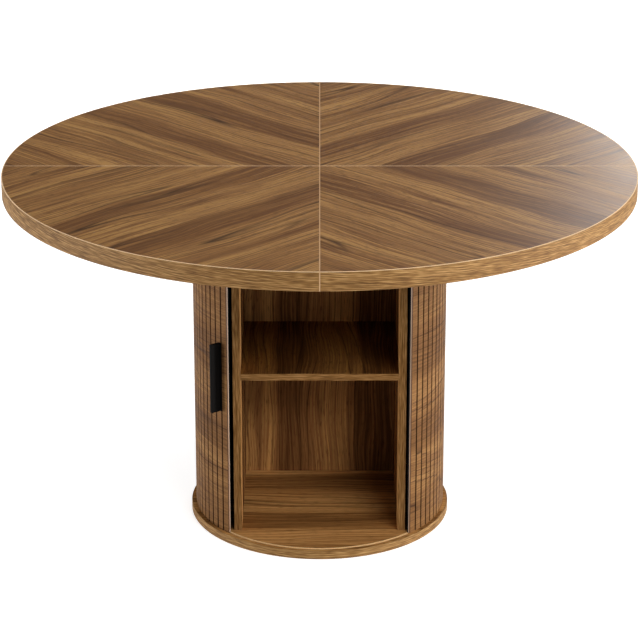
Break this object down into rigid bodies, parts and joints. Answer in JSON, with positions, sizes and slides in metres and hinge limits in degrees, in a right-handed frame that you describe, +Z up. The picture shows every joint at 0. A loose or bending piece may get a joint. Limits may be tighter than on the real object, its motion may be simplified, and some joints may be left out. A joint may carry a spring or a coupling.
{
  "type": "dining table with storage cabinet",
  "caption": "Round dining table with a quartered chevron top on a fluted drum cabinet that has a shelf and a sliding tambour door.",
  "frame": {"origin": "on the floor, at the middle of the drum and of the round top", "axes": "+Z up; -Y towards the open front of the cabinet; +X to the right seen from the front"},
  "size_m": [1.3, 1.3, 0.76],
  "materials": {
    "walnut_top": "satin wood-grain laminate, chevron matched",
    "walnut_edge": "satin wood-grain edge band",
    "walnut_board": "satin wood-grain laminate",
    "walnut_slats": "satin wood-grain laminate, cross grain",
    "pale_edge": "cream edge band",
    "raw_board": "raw fibreboard",
    "beech": "plain turned",
    "zinc_steel": "zinc plated",
    "black_pull": "matte black powder coat",
    "door_cloth": "dark backing cloth"
  },
  "bodies": {
    "table": {"top_quarter_back_right": "walnut_top", "rim_band_back_right": "walnut_edge", "top_quarter_back_left": "walnut_top", "rim_band_back_left": "walnut_edge", "top_quarter_front_left": "walnut_top", "rim_band_front_left": "walnut_edge", "top_quarter_front_right": "walnut_top", "rim_band_front_right": "walnut_edge", "seam_bands": "pale_edge", "seam_dowels": "beech", "seam_plates": "zinc_steel", "seam_plate_screws": "zinc_steel", "top_fixing_screws": "zinc_steel", "base_board": "walnut_board", "base_edge_band": "walnut_edge", "floor_bead": "pale_edge", "cabinet_head_board": "walnut_board", "partition_left": "walnut_board", "partition_right": "walnut_board", "base_screws": "zinc_steel", "head_screws": "zinc_steel", "back_panel": "walnut_board", "shelf": "walnut_board", "shelf_pins": "zinc_steel", "rib_right": "raw_board", "rib_left": "raw_board", "rib_rear": "raw_board", "side_wall_left": "walnut_board", "fixed_slats": "walnut_slats", "fixed_backing": "raw_board", "fixed_edge_strips": "pale_edge"},
    "door": {"door_slats": "walnut_slats", "door_cloth": "door_cloth", "door_edge_strip": "pale_edge", "door_pull": "black_pull", "door_pull_screws": "zinc_steel"}
  },
  "joints": [
    {"name": "door_slide", "type": "hinge", "parent": "table", "child": "door", "pos_m": [0, 0, 0], "axis": [0, 0, 1], "range_deg": [0, 90]}
  ]
}
